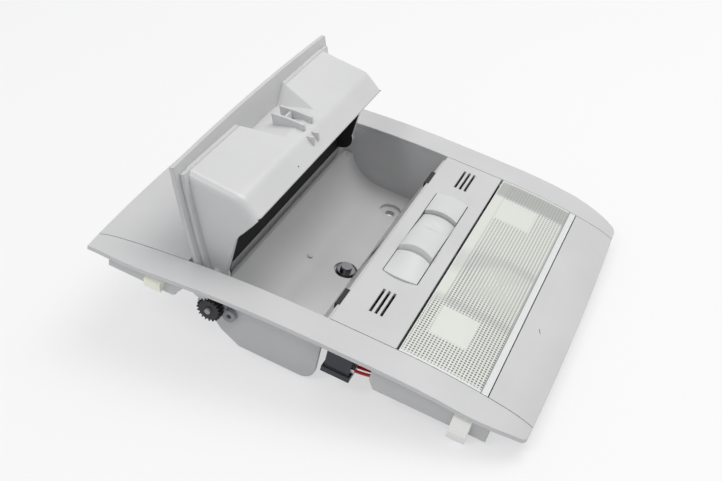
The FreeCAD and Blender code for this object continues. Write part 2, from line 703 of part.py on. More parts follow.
outer_mid = "(basin_start + basin_end) / 2"
contacts = []
bulbs = (
    ("dome_bulb", "dome_half", "0"),
    ("map_bulb_near", "map_half", f"-{outer_mid}"),
    ("map_bulb_far", "map_half", outer_mid),
)
for label, half, middle in bulbs:
    bulb_points = [
        ("0", f"-{half}"),
        ("cap_radius", f"-{half}"),
        ("cap_radius", f"-{half} + cap_length"),
        ("bulb_radius", f"-{half} + cap_length"),
        ("bulb_radius", f"{half} - cap_length"),
        ("cap_radius", f"{half} - cap_length"),
        ("cap_radius", half),
        ("0", half),
    ]
    spot = Vector(value["bulb_x"], number(middle), -value["bulb_depth"])
    node(turned(label + "_glass", bulb_points), label, "fixed", Placement(spot, TURN["y"]))
    for side, face_at in (("a", f"{middle} - {half} - contact_wall"), ("b", f"{middle} + {half}")):
        contacts.append(block(
            f"contact_{label}_{side}", "bulb_x - contact_half", "bulb_x + contact_half", face_at,
            f"{face_at} + contact_wall", "-basin_floor", "-bulb_depth + contact_half",
        ))
node(together("contact_set", contacts), "bulb_contacts")

# Holder box: two side plates, the wall of the well between them and three screw bosses

plate_points = [
    ("box_rear", "9"),
    ("box_rear", "-hinge_depth - 3.5"),
    ("plate_low - 11", "6 - box_depth"),
    ("plate_low", "-box_depth"),
    ("box_front - 7.5", "-box_depth", "7.5", -1),
    ("box_front", "7.5 - box_depth"),
    ("box_front", "9"),
]
plate_near = prism(
    "plate_near", "XZ_Plane", plate_points, "strip_half", "strip_half + box_wall",
)
plate_far = prism(
    "plate_far", "XZ_Plane", plate_points, "-strip_half - box_wall", "-strip_half",
)
well_floor = "(box_wall - box_depth)"
slope = f"((well_front - well_floor_front) / (-{well_floor}))"


def well_wall(depth):
    return f"(well_front - ({depth}) * {slope})"


wall_shift = f"(box_wall * sqrt(1 + {slope}^2))"
well_points = [
    ("well_rear", "-well_rear_top", "well_curve", -1),
    ("well_floor_rear", well_floor),
    ("well_floor_front", well_floor),
    (well_wall("lid_wall + 0.4"), "-lid_wall - 0.4"),
    ("box_front", "-lid_wall - 0.4"),
    ("box_front", "0"),
    (f"{well_wall('0')} + {wall_shift}", "0"),
    (f"{well_wall('box_depth')} + {wall_shift}", "-box_depth"),
    ("well_floor_rear", "-box_depth", "well_curve + box_wall", 1),
    ("well_rear - box_wall", "-well_rear_top"),
]
well = prism("well", "XZ_Plane", well_points, "-strip_half - 1", "strip_half + 1")
bosses = []
screw_tools = []
box_tools = []
boss_rows = (("near", "boss_mid_y - boss_y"), ("mid", "boss_mid_y"), ("far", "boss_mid_y + boss_y"))
for side, y_place in boss_rows:
    bosses.append(rod(
        f"boss_{side}", "z", ("boss_x", y_place, "-boss_bottom"), "boss_radius",
        "boss_bottom - box_depth + box_wall / 2",
    ))
    screw_tools.append(rod(
        f"recess_{side}", "z", ("boss_x", y_place, "recess_floor - boss_bottom"), "recess_radius",
        "9",
    ))
    screw_tools.append(rod(
        f"hole_{side}", "z", ("boss_x", y_place, "-boss_bottom - 5"), "screw_hole", "20",
    ))
box_tools.append(rod(
    "hinge_bore", "y", ("hinge_x", "-half_width", "-hinge_depth"), "pin_radius + pin_play",
    "2 * half_width",
))
for side, low, high in (
    ("near", "-strip_half", "4 - bin_half"),
    ("far", "bin_half - 4", "strip_half"),
):
    box_tools.append(block(
        f"cheek_room_{side}", "hinge_x - 9", "well_rear + 6", low, high,
        "-hinge_depth - 14", "9",
    ))
box_tools.append(block(
    "floor_slot", "well_floor_front - 1", "well_floor_front + 6", "22.5", "25.5",
    "box_wall - box_depth + 1.5", "box_wall - box_depth + 4",
))
box_tools.append(block(
    "latch_room", "well_floor_front", "box_front + 9", "-latch_half", "latch_half",
    "-latch_bottom", "-latch_top",
))
stops = []
for side, middle in (("near", "bumper_near"), ("far", "bumper_far")):
    box_tools.append(block(
        f"stop_room_{side}", "well_front - 9", "box_front + 9", f"{middle} - bumper_half",
        f"{middle} + bumper_half", "-bumper_bottom", "9",
    ))
    stops.append(block(
        f"stop_{side}", f"{well_wall('bumper_bottom')} - 0.4", "well_front + 0.1",
        f"{middle} - bumper_half", f"{middle} + bumper_half", "-bumper_bottom", "-bumper_top",
    ))
floor_nub = rod(
    "floor_nub", "z", ("well_floor_rear - 6.6", "-4.5", "0.5 - box_depth"), "1.5", "3.3",
)
ledge = block(
    "ledge", "ledge_rear", "well_rear + box_wall / 2", "-strip_half - box_wall / 2",
    "strip_half + box_wall / 2", "-ledge_top - box_wall", "-ledge_top",
)
well_bossed = fused("well_bossed", [well, ledge, floor_nub] + bosses)
well_drilled = less("well_drilled", well_bossed, screw_tools)
box_blank = fused("box_blank", [plate_near, plate_far, well_drilled])
box_cut = less("box_cut", box_blank, box_tools)
node(within("box_ready", box_cut, face_carried), "holder_box")
node(together("stop_pair", stops), "lid_bumpers")

latch_points = [
    (f"{well_wall('latch_bottom')} + latch_gap", "latch_gap - latch_bottom"),
    ("latch_back", "latch_gap - latch_bottom"),
    ("latch_back", "-latch_top - latch_gap"),
    (f"{well_wall('latch_top')} + latch_gap", "-latch_top - latch_gap"),
]
latch_blank = prism(
    "latch_blank", "XZ_Plane", latch_points, "latch_gap - latch_half", "latch_half - latch_gap",
)
latch_slot = block(
    "latch_slot", "well_floor_front - 5", f"{well_wall('latch_top + 5')} + 1", "-4", "4",
    "-latch_bottom + 4", "-latch_top - 4",
)
node(less("latch_unit", latch_blank, [latch_slot]), "latch_body")

# Screw and washer in the middle boss

screw_points = [
    ("0", "0"),
    ("screw_radius", "0"),
    ("screw_radius", "screw_length"),
    ("screw_flange", "screw_length"),
    ("screw_flange", "screw_length + screw_flange_wall"),
    ("head_radius", "screw_length + screw_flange_wall"),
    ("head_radius", "screw_length + head_height"),
    ("0", "screw_length + head_height"),
]
washer_points = [
    ("screw_radius + 0.1", "screw_length - washer_height"),
    ("washer_radius", "screw_length - washer_height"),
    ("washer_radius", "screw_length"),
    ("screw_radius + 0.1", "screw_length"),
]
screw_spot = Placement(
    Vector(value["boss_x"], value["boss_mid_y"], -value["screw_tip"]), Rotation(),
)
node(turned("screw", screw_points), "fixing_screw", "fixed", screw_spot)
node(turned("washer", washer_points), "screw_washer", "fixed", screw_spot)

# Lid: plate, bin with flange, saddle, striker ribs and hinge pins, and the liner

lid_corner = "(lid_front - lid_bow + sqrt(lid_bow^2 - lid_half^2))"
lid_points = [
    ("lid_rear", "-lid_half"),
    (lid_corner, "-lid_half", "lid_bow", -1),
    (lid_corner, "lid_half"),
    ("lid_rear", "lid_half"),
]
lid_plan = prism("lid_plan", "XY_Plane", lid_points, "-block_depth", "block_depth")
lid_blank = less("lid_blank", face, [face_less_lid])
node(within("lid_plate", lid_blank, lid_plan), "lid_panel", "lid")

bin_lean = "((bin_top - bin_bend_x) / bin_bend)"
lip_lean = "((bin_lip - bin_bend) / (bin_bend_x - bin_lip_x))"
bin_curve = f"(bin_ease / tan((atan(1 / {lip_lean}) - atan({bin_lean})) / 2))"


def bin_front(inset, reach):
    # Front wall and lip of the bin, moved inwards by the inset, with a top above the face
    across = f"(({inset}) * sqrt(1 + {bin_lean}^2))"
    corner_x = f"bin_bend_x - 0.81 * ({inset})"
    corner_z = f"-bin_bend + 0.66 * ({inset})"
    upward = f"(bin_ease / sqrt(1 + {bin_lean}^2))"
    onward = f"(bin_ease / sqrt(1 + {lip_lean}^2))"
    return [
        (f"bin_top + {reach} * {bin_lean} - {across}", reach),
        (f"{corner_x} + {upward} * {bin_lean}", f"{corner_z} + {upward}", bin_curve, 1),
        (f"{corner_x} - {onward}", f"{corner_z} - {onward} * {lip_lean}"),
        ("bin_lip_x", f"-bin_lip + 1.2 * ({inset})"),
    ]


bin_points = bin_front("0", "9") + [
    ("bin_lip_x - 8", "-bin_lip + 9.6", "12", -1),
    ("bin_lip_x - 14.5", "-bin_lip + 14.9"),
    ("hinge_x + 1.6", "-hinge_depth - 6.3", "hinge_cheek", 1),
    ("hinge_x - hinge_cheek", "-hinge_depth"),
    ("hinge_x - hinge_cheek", "9"),
]
bin_blank = prism("bin_blank", "XZ_Plane", bin_points, "-bin_half", "bin_half")
bin_plain = prism("bin_plain", "XZ_Plane", bin_points, "-bin_half", "bin_half")
doc.recompute()
bin_pad = bin_blank.Tip
long_edges = []
for index, edge in enumerate(bin_pad.Shape.Edges, start=1):
    centre = edge.CenterOfMass
    on_side = abs(abs(centre.y) - value["bin_half"]) < 0.01
    flat = all(abs(abs(corner.Point.y) - value["bin_half"]) < 0.01 for corner in edge.Vertexes)
    if on_side and flat and centre.x > value["bin_lip_x"] and centre.z < value["lid_wall"]:
        long_edges.append(f"Edge{index}")
rounding = bin_blank.newObject("PartDesign::Fillet", "bin_rounding")
rounding.Base = (bin_pad, long_edges)
bind(rounding, "Radius", "bin_round")
bin_blank.Tip = rounding


def bin_room(name, inset):
    points = bin_front(inset, "9") + [
        ("bin_lip_x", "-bin_lip - 9"),
        ("lid_rear - 9", "-bin_lip - 9"),
        ("lid_rear - 9", "9"),
    ]
    return prism(name, "XZ_Plane", points, f"({inset}) - bin_half", f"bin_half - ({inset})")


def saddle(name, inset):
    mouth = f"saddle_mouth + 1.1 * ({inset})"
    floor_half = f"saddle_half + 0.55 * ({inset})"
    points = [
        (f"saddle_x - ({inset})", f"-({floor_half})"),
        ("saddle_mouth_x", f"-({mouth})"),
        ("saddle_mouth_x + 20", f"-({mouth})"),
        ("saddle_mouth_x + 20", mouth),
        ("saddle_mouth_x", mouth),
        (f"saddle_x - ({inset})", floor_half),
    ]
    return prism(name, "XY_Plane", points, "-bin_lip - 4", "9")


bin_trimmed = within("bin_trimmed", bin_blank, face_less_lid)
face_less_flange = face_block("face_less_flange", "lid_wall + flange_wall")
flange_blank = less("flange_blank", face_less_lid, [face_less_flange])
flange_limits = block(
    "flange_limits", "flange_rear", "flange_front", "-flange_half", "flange_half",
    "-block_depth", "block_depth",
)
flange = within("flange", flange_blank, flange_limits)
bin_solid = fused("bin_solid", [bin_trimmed, flange])
bin_scooped = less("bin_scooped", bin_solid, [saddle("saddle_scoop", "0")])
hollow = less("hollow", bin_room("bin_hollow", "bin_wall"), [saddle("saddle_back", "bin_wall")])
bin_shell = less("bin_shell", bin_scooped, [hollow])
rib_points = [
    ("saddle_x - 0.8 * bin_wall", "-12"),
    ("saddle_x + 6.5", "-12"),
    ("saddle_x + 4.5", "-21"),
    ("saddle_x + 1.5", "-30"),
    ("saddle_x - 0.8 * bin_wall", "-30"),
]
fin_points = [
    ("bin_bend_x - 0.6", "-bin_bend + 3"),
    ("bin_bend_x - 8", "-bin_bend - 4.4"),
    ("bin_bend_x - 1.5", "-bin_bend - 4.6"),
]
extras = []
for side, middle in (("near", "rib_y"), ("far", "-rib_y")):
    extras.append(prism(
        f"rib_{side}", "XZ_Plane", rib_points, f"{middle} - rib_wall / 2",
        f"{middle} + rib_wall / 2",
    ))
for side, middle in (("near", "6.5"), ("far", "1.2")):
    extras.append(prism(
        f"fin_{side}", "XZ_Plane", fin_points, f"{middle} - rib_wall / 2", f"{middle} + rib_wall / 2",
    ))
extras.append(block(
    "rib_web", "saddle_x - bin_wall / 2", "saddle_x + 4", "-rib_y", "rib_y", "-19", "-17.4",
))
extras.append(rod(
    "pin_near", "y", ("hinge_x", "-pin_end", "-hinge_depth"), "pin_radius",
    "pin_end - bin_half + bin_wall",
))
extras.append(rod(
    "pin_far", "y", ("hinge_x", "bin_half - bin_wall", "-hinge_depth"), "pin_radius",
    "pin_end - bin_half + bin_wall",
))
node(fused("bin_whole", [bin_shell] + extras), "glasses_bin", "lid")

liner_out = "(bin_wall + liner_gap)"
liner_in = "(bin_wall + liner_gap + liner_wall)"
face_liner = face_block("face_liner", "lid_wall + liner_gap")
face_liner_in = face_block("face_liner_in", "lid_wall + liner_gap + liner_wall")
outer_room = less(
    "outer_room", bin_room("liner_outer", liner_out), [saddle("liner_saddle", liner_out)],
)
inner_room = less(
    "inner_room", bin_room("liner_inner", liner_in), [saddle("liner_saddle_in", liner_in)],
)
liner_solid = within("liner_solid", outer_room, face_liner)
liner_hollow = within("liner_hollow", inner_room, face_liner_in)
liner_shell = less("liner_shell", liner_solid, [liner_hollow])
node(within("liner_ready", liner_shell, bin_plain), "bin_liner", "lid")

# Gears on lid and damper, built around their own axes


def gear(name, teeth, bore, first_angle, wanted, start, end):
    pitch = f"(gear_module * {teeth} / 2)"
    body = doc.addObject("PartDesign::Body", name)
    disc_sketch = body.newObject("Sketcher::SketchObject", name + "_disc")
    plane = [item for item in body.Origin.OriginFeatures if item.Role == "XZ_Plane"][0]
    disc_sketch.AttachmentSupport = (plane, "")
    disc_sketch.MapMode = "FlatFace"
    bind(disc_sketch, "AttachmentOffset.Base.z", start)
    for index, radius in enumerate((f"{pitch} - dedendum", bore)):
        circle = Part.Circle(Vector(), Vector(0, 0, 1), number(radius))
        disc_sketch.addGeometry(circle)
        disc_sketch.addConstraint(Sketcher.Constraint("Coincident", index, 3, -1, 1))
        place = disc_sketch.addConstraint(Sketcher.Constraint("Radius", index, number(radius)))
        bind(disc_sketch, f"Constraints[{place}]", radius)
    disc = body.newObject("PartDesign::Pad", name + "_disc_pad")
    disc.Profile = disc_sketch
    bind(disc, "Length", f"({end}) - ({start})")
    body.Tip = disc
    turn_cos = math.cos(math.radians(first_angle))
    turn_sin = math.sin(math.radians(first_angle))
    flank = [
        (f"({pitch} - dedendum - 0.3)", "-(tooth_half + 0.15)"),
        (f"({pitch} + addendum)", "-(tooth_half - 0.15)"),
        (f"({pitch} + addendum)", "(tooth_half - 0.15)"),
        (f"({pitch} - dedendum - 0.3)", "(tooth_half + 0.15)"),
    ]
    tooth_points = []
    for along, aside in flank:
        across = f"{turn_cos:.6f} * {along} - ({turn_sin:.6f}) * ({aside})"
        upward = f"({turn_sin:.6f}) * {along} + {turn_cos:.6f} * ({aside})"
        tooth_points.append((across, upward))
    tooth_sketch = new_sketch(body, "XZ_Plane", start, tooth_points)
    tooth = body.newObject("PartDesign::Pad", name + "_tooth")
    tooth.Profile = tooth_sketch
    bind(tooth, "Length", f"({end}) - ({start})")
    body.Tip = tooth
    pattern = body.newObject("PartDesign::PolarPattern", name + "_teeth")
    pattern.Originals = [tooth]
    pattern.Axis = (disc_sketch, ["N_Axis"])
    step = 360.0 / number(teeth)
    pattern.Angle = 360 if wanted == number(teeth) else step * (wanted - 1)
    pattern.Occurrences = int(wanted)
    body.Tip = pattern
    return body


open_angle = value["lid_open"]
mesh = value["mesh_angle"]
lid_step = 360.0 / value["lid_teeth"]
first_lid_tooth = mesh - lid_step - open_angle
lid_wanted = math.ceil(open_angle / lid_step) + 2
lid_gear = gear(
    "lid_gear_body", "lid_teeth", "pin_radius + 0.02", first_lid_tooth, lid_wanted,
    "gear_inner", "gear_outer",
)
hinge_spot = Vector(value["hinge_x"], 0, -value["hinge_depth"])
node(lid_gear, "lid_gear", "lid", Placement(hinge_spot, Rotation()))
damper_step = 360.0 / value["damper_teeth"]
first_damper_tooth = mesh + 180 + damper_step / 2
damper_gear = gear(
    "damper_gear_body", "damper_teeth", "damper_post + damper_play", first_damper_tooth,
    value["damper_teeth"], "gear_inner", "gear_outer",
)
centre_distance = number("gear_module * (lid_teeth + damper_teeth) / 2")
mesh_way = Vector(math.cos(math.radians(mesh)), 0, math.sin(math.radians(mesh)))
damper_spot = hinge_spot + mesh_way * centre_distance
node(damper_gear, "damper_gear", "damper", Placement(damper_spot, Rotation()))

damper_x = "(hinge_x + gear_module * (lid_teeth + damper_teeth) / 2 * cos(mesh_angle * 1 deg))"
damper_z = "(-hinge_depth + gear_module * (lid_teeth + damper_teeth) / 2 * sin(mesh_angle * 1 deg))"
box_side = "(strip_half + box_wall)"
housing_disc = rod(
    "housing_disc", "y", (damper_x, "-damper_outer", damper_z), "damper_radius",
    f"damper_outer - {box_side}",
)
shaft = rod(
    "shaft", "y", (damper_x, "-pin_end", damper_z), "damper_post", f"pin_end - {box_side}",
)
ear = rod(
    "ear", "y", ("ear_x", "-damper_outer", "-ear_depth"), "ear_radius",
    f"damper_outer - {box_side}",
)
ear_arm = block(
    "ear_arm", damper_x, "ear_x", f"-{box_side} - 1.4", f"-{box_side}", "-ear_depth - 2",
    "-ear_depth + 2",
)
ear_hole = rod(
    "ear_hole", "y", ("ear_x", "-half_width", "-ear_depth"), "1.3", "half_width - strip_half - 1",
)
damper_blank = fused("damper_blank", [housing_disc, shaft, ear, ear_arm])
node(less("damper_housing", damper_blank, [ear_hole]), "damper_body")

# Torsion spring on the far pin: close turns and one leg

coil_points = [("coil_inner", "0"), ("coil_inner", "coil_turns * spring_wire")]
for turn in range(int(value["coil_turns"]), 0, -1):
    coil_points.append(("coil_outer", f"{turn} * spring_wire"))
    if turn > 1:
        coil_points.append(("coil_outer", f"{turn - 0.8} * spring_wire"))
        coil_points.append(("coil_outer - 0.2 * spring_wire", f"{turn - 0.8} * spring_wire"))
        coil_points.append(("coil_outer - 0.2 * spring_wire", f"{turn - 1} * spring_wire"))
coil_points.append(("coil_outer", "0"))
coil = turned("coil", coil_points)
leg = block(
    "leg", "coil_inner + 0.3", "leg_length", "-spring_wire / 2", "spring_wire / 2",
    "0.1", "spring_wire",
)
spring_local = Placement(
    Vector(value["hinge_x"], value["coil_start"], -value["hinge_depth"]),
    Rotation(Vector(0, -1, 0), -open_angle) * TURN["y"],
)
node(fused("spring_whole", [coil, leg]), "lid_spring", "lid", spring_local)

# Connector and metal tabs

plug_shell = block(
    "plug_shell", "plug_rear", "plug_front", "-plug_near", "-house_half", "-plug_depth", "-plug_top",
)
plug_lip = block(
    "plug_lip", "plug_rear - plug_rim", "plug_front + plug_rim", "-plug_near - plug_rim",
    "plug_rim - house_half", "-plug_depth", "3 - plug_depth",
)
plug_mouth = block(
    "plug_mouth", "plug_rear + 1.6", "plug_front - 1.6", "1.6 - plug_near", "-house_half - 1.6",
    "-plug_depth - 1", "8 - plug_depth",
)
plug_foot = block(
    "plug_foot", "plug_rear", "plug_front", "-house_half - 1", "6 - house_half",
    "-house_depth - 1.5", "-house_depth",
)
plug_whole = fused("plug_whole", [plug_shell, plug_lip, plug_foot])
node(less("plug_ready", plug_whole, [plug_mouth]), "connector")
tabs = []
for index in (0, 1):
    tabs.append(block(
        f"tab_{index}", "plug_front", "tab_front", f"-wire_near + {index} * wire_pitch - tab_half",
        f"-wire_near + {index} * wire_pitch + tab_half", "-tab_depth - tab_half",
        "-tab_depth + tab_half",
    ))
node(together("tab_pair", tabs), "connector_terminals")

# Clips and housing screws

for where, tip in (("rear", "clip_rear_bottom"), ("front", "clip_bottom")):
    clip_points = [
        ("-skirt_out", "-9"),
        ("-skirt_out", f"3 - {tip}"),
        ("-skirt_out - 1.6", f"-{tip}"),
        ("-skirt_out - 3", f"-{tip}"),
        ("-skirt_out - 4.6", f"5.5 - {tip}"),
        ("-skirt_out - 2.2", "-11"),
    ]
    for side, turn in (("near", 0), ("far", 180)):
        clip = prism(f"clip_{side}_{where}_body", "YZ_Plane", clip_points, "-clip_half", "clip_half")
        spot = Placement(Vector(value["clip_" + where], 0, 0), Rotation(Vector(0, 0, 1), turn))
        node(clip, f"clip_{side}_{where}", "fixed", spot)
heads = []
for where in ("fix_rear", "fix_front"):
    for side, sign in (("near", "-"), ("far", "")):
        heads.append(hex_head(
            f"head_{where}_{side}", (where, f"{sign}fix_y", "-house_depth - fix_height"),
            "fix_head", "fix_height",
        ))
node(together("head_set", heads), "housing_screws")

doc.recompute()

# Rest place: on the edge of the screw bosses and the tips of the front clips, lid open

boss_edge = value["boss_x"] + value["boss_radius"]
clip_edge = value["clip_front"] + value["clip_half"]
rise = value["boss_bottom"] - value["clip_bottom"]
rest_tilt = math.degrees(math.atan2(rise, clip_edge - boss_edge))
rest = Placement(Vector(), Rotation(Vector(0, 1, 0), rest_tilt))
pivot_spot = Vector(value["group_x"], value["group_y"], -value["pivot_depth"])
motions = {
    "fixed": Placement(),
    "near_button": Placement(),
    "far_button": Placement(),
    "damper": Placement(),
    "lid": Placement(Vector(), Rotation(Vector(0, -1, 0), open_angle), hinge_spot),
    "rocker": Placement(Vector(), Rotation(Vector(1, 0, 0), -value["rocker_tilt"]), pivot_spot),
}
bounds = FreeCAD.BoundBox()
for item, label, motion, local in nodes:
    item.Placement = rest * motions[motion] * local
    bounds.add(item.Shape.optimalBoundingBox(False))
shift = Vector(-bounds.Center.x, -bounds.Center.y, -bounds.ZMin)
lifted = Placement(shift, Rotation())
for item, label, motion, local in nodes:
    item.Placement = lifted * item.Placement

for item in doc.Objects:
    if "Invalid" in item.State or "Error" in item.State:
        raise RuntimeError(f"{item.Name}: {item.State}")
for item, label, motion, local in nodes:
    if item.Shape.isNull() or not item.Shape.isValid() or item.Shape.Volume < 1:
        raise RuntimeError(f"{label}: bad shape")

os.makedirs("parts", exist_ok=True)
for item, label, motion, local in nodes:
    item.Shape.exportStep(f"parts/{label}.step")
    solids = len(item.Shape.Solids)
    print(f"{label}: {solids} solids, {item.Shape.Volume:.0f} mm3")
print(f"tilt {rest_tilt:.3f} shift {shift.x:.4f} {shift.y:.4f} {shift.z:.4f}")
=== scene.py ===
import json
import math

import bmesh
import bpy
from mathutils import Matrix, Vector


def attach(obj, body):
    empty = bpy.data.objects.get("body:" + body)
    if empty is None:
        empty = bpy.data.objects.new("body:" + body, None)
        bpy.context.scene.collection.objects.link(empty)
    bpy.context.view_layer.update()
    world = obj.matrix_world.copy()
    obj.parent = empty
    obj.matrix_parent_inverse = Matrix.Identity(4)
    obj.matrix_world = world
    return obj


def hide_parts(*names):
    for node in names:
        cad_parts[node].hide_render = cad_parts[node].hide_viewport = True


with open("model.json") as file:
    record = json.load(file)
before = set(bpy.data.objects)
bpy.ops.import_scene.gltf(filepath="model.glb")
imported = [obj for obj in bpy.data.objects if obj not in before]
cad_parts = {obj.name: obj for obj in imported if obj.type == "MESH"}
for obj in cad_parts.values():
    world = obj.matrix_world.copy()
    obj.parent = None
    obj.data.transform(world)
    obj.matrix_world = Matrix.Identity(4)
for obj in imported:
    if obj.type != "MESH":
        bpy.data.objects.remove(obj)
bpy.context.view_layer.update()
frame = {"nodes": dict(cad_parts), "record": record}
nodes = frame["nodes"]

# The part's own frame, as part.py lays it on the table: X from the lens edge, Z out of the face.
# Places on the part are given in this frame, in metres.
TILT = math.radians(12.397)
SHIFT = Vector((0.0491639, 0.0, 0.0332867))

# Sockets of a Mix node that mixes colours
MIX_FACTOR, MIX_BELOW, MIX_ABOVE, MIX_RESULT = 0, 6, 7, 2

# Plastic: faint clouds in the colour, fine grain and rounded edges
CLOUD_SCALE, CLOUD_DETAIL = 22.0, 3.0
CLOUD_RANGE = (0.35, 0.65)
GRAIN_SCALE, GRAIN_DETAIL = 2600.0, 1.0
GRAIN_DEPTH = 0.0002
BEVEL_SAMPLES = 6

# Metal and bulb glass: noise that makes the gloss uneven
METAL_SCALE, METAL_DETAIL = 900.0, 2.0
METAL_SPREAD = 0.2
BULB_SCALE, BULB_DETAIL = 300.0, 2.0
BULB_ROUGHNESS, BULB_SPREAD = 0.05, 0.1

# Marks: the scratch on the front panel, the speck on the bin and the rocker's finger dish
NICK_START, NICK_END = Vector((0.0540, -0.0218)), Vector((0.0557, -0.0253))
NICK_HALF_WIDTH = 0.0003
NICK_TINT = (0.1, 0.1, 0.1)
SPECK_SPOT, SPECK_RADIUS = (-0.08544, -0.02719, 0.03266), 0.0006
SPECK_TINT = (0.05, 0.05, 0.05)
DISH_MIDDLE, DISH_HALF = (-0.0188, 0.0119), (0.0062, 0.0045)
DISH_FADE = (0.3, 1.0)
DISH_STRENGTH, DISH_DEPTH = 0.6, 0.0008

# Lens areas: middle x, middle y, half x, half y
RIM_AREA = (0.0216, 0.0, 0.0210, 0.0820)
NEAR_WINDOW = (0.0175, -0.0515, 0.0098, 0.0108)
FAR_WINDOW = (0.0165, 0.055, 0.0102, 0.0100)
GLOW_AREA = (0.0275, -0.0075, 0.019, 0.024)
RIPPLE_AREA = (*GLOW_AREA[:2], 1.0, 1.0)

# Lens fades: where each cover is 0 and where it is 1, as a share of an area or in metres
RIM_FADE = (0.98, 1.0)
WINDOW_FADE = (0.95, 1.1)
GLOW_FADE = (1.0, 0.25)
SMOOTH_FADE_X, SMOOTH_FADE_Y = (0.007, 0.0045), (-0.040, -0.034)
PALER_FADE_Y = (0.008, 0.020)
FAR_END_FADE_Y = (0.065, 0.068)
GROOVE_X, GROOVE_FADE = 0.0424, (0.0004, 0.0002)

# Lens facets: a grid of pyramids painted dark as shade, with square rings in the bright middle, where
# painted light makes the facets paler
PRISM_PITCH = 0.0017
FACET_FADE = (PRISM_PITCH**2 * 0.06, PRISM_PITCH**2 * 0.11)
RIPPLE_FADE = (PRISM_PITCH * 0.22, PRISM_PITCH * 0.42)
FACET_STRENGTH, FACET_DEPTH = 0.35, 0.0004

# Lens bands of painted shade: the near one is straight, the far one leans and widens towards the
# switches
NEAR_BAND_Y, NEAR_BAND_FADE = -0.0352, (0.0045, 0.0015)
FAR_BAND_RUN = (0.024, 0.004)
FAR_BAND_Y, FAR_BAND_LEAN = 0.011, -0.013
FAR_BAND_HALF, FAR_BAND_WIDENING = 0.0045, 0.009
FAR_BAND_FADE = (1.0, 0.4)

# Lens covers: how much of each effect is seen
GLOW_COVER = 0.6
RIPPLE_COVER = 0.4
PALER_COVER = 0.3
BAND_COVER = 0.3
FAR_END_COVER = 0.75
MILK_SHARE = 0.8

# Lens colours
LENS_TINT = (0.76, 0.78, 0.735)
# Painted shade: the prism facets of the clear lens, painted dark
FACET_SHADE = (0.13, 0.14, 0.125)
# Painted shade: the grey bands where the walls between the lamps show through the clear lens
BAND_SHADE = (0.40, 0.395, 0.41)
FAR_END_TINT = (0.36, 0.365, 0.355)
# Painted highlight: the clear rim of the lens, painted lighter
RIM_HIGHLIGHT = (0.80, 0.81, 0.82)
GROOVE_TINT = (0.30, 0.30, 0.31)
CLEAR_TINT = (0.95, 0.97, 0.94)

# Map buttons: arched beside the rocker, nearly flat at their bowed outer ends
BUTTON_X, BUTTON_HALF = -0.0185, 0.0093
BUTTON_COLUMNS, BUTTON_ROWS = 20, 10
INNER_ARCH, OUTER_ARCH = 0.017, 0.060
BUTTON_BOW = 0.0254
BUTTON_SIDE_Z, BUTTON_FOOT_Z = 0.0003, -0.003
SHARP_ANGLE = math.radians(35.0)

# Stage: sizes and places on the table
FLOOR_SIZE = 8.0
FLOOR_GLOW = 0.65
PALE = (0.92, 0.92, 0.93)
SKY_TINT, SKY_STRENGTH = (0.97, 0.985, 1.0), 0.55
PHOTO_WIDTH_PIXELS, FOCAL_PIXELS = 722.0, 1050.0
SENSOR_WIDTH = 36.0
CAMERA_FROM_ORIGIN = Vector((0.1318, -0.4302, 0.3151))
CAMERA_DOWN, CAMERA_TURN = math.radians(34.37), math.radians(23.39)
CLIP_START = 0.01


